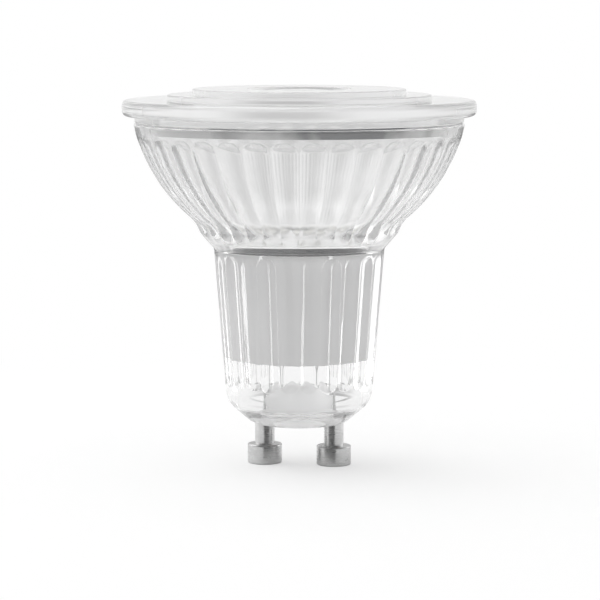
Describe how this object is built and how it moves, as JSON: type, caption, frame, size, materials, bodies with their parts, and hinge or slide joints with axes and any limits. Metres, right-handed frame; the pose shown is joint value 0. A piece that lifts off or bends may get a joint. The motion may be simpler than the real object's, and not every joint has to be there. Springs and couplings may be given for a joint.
{
  "type": "spotlight bulb",
  "caption": "Clear fluted glass spotlight bulb with a stepped front lens, an LED board and driver inside, and a twist-lock pin base.",
  "frame": {"origin": "on the plane that the pin feet stand on, midway between the pins", "axes": "+Z along the bulb towards the front lens, +X from the left pin to the right pin"},
  "size_m": [0.05, 0.05, 0.0535],
  "materials": {
    "clear_glass": "clear, pressed and fire polished",
    "clear_acrylic": "clear, moulded and glossy",
    "clear_silicone": "translucent",
    "nickel_pin": "satin nickel plate",
    "satin_aluminium": "drawn, satin",
    "grey_silicone": "matte",
    "white_board": "white solder mask",
    "led_package": "white frame, pale yellow phosphor",
    "white_plastic": "moulded",
    "circuit_board": "solder mask",
    "capacitor_can": "shrink sleeve",
    "ferrite": "matte",
    "copper_wire": "enamelled",
    "film_case": "dipped",
    "black_package": "moulded",
    "resistor_coat": "lacquered",
    "tinned_wire": "tinned, drawn",
    "lead_sleeve": "insulated"
  },
  "bodies": {
    "root": {"bridge_rectifier": "black_package", "chip_resistor_1": "black_package", "chip_resistor_2": "black_package", "chip_resistor_3": "black_package", "choke_core": "ferrite", "choke_winding": "copper_wire", "contact_pin_left": "nickel_pin", "contact_pin_right": "nickel_pin", "controller_chip": "black_package", "driver_board": "circuit_board", "film_capacitor": "film_case", "front_lens": "clear_acrylic", "fusible_resistor": "resistor_coat", "glass_body": "clear_glass", "heat_sink": "satin_aluminium", "input_capacitor": "capacitor_can", "insulating_sleeve": "white_plastic", "led_1": "led_package", "led_2": "led_package", "led_3": "led_package", "led_4": "led_package", "led_5": "led_package", "led_6": "led_package", "led_7": "led_package", "led_8": "led_package", "led_board": "white_board", "lens_seal": "clear_silicone", "mains_lead_left": "tinned_wire", "mains_lead_right": "tinned_wire", "output_capacitor": "capacitor_can", "output_diode": "black_package", "output_lead_left": "lead_sleeve", "output_lead_right": "lead_sleeve", "thermal_pad": "grey_silicone"}
  },
  "joints": []
}
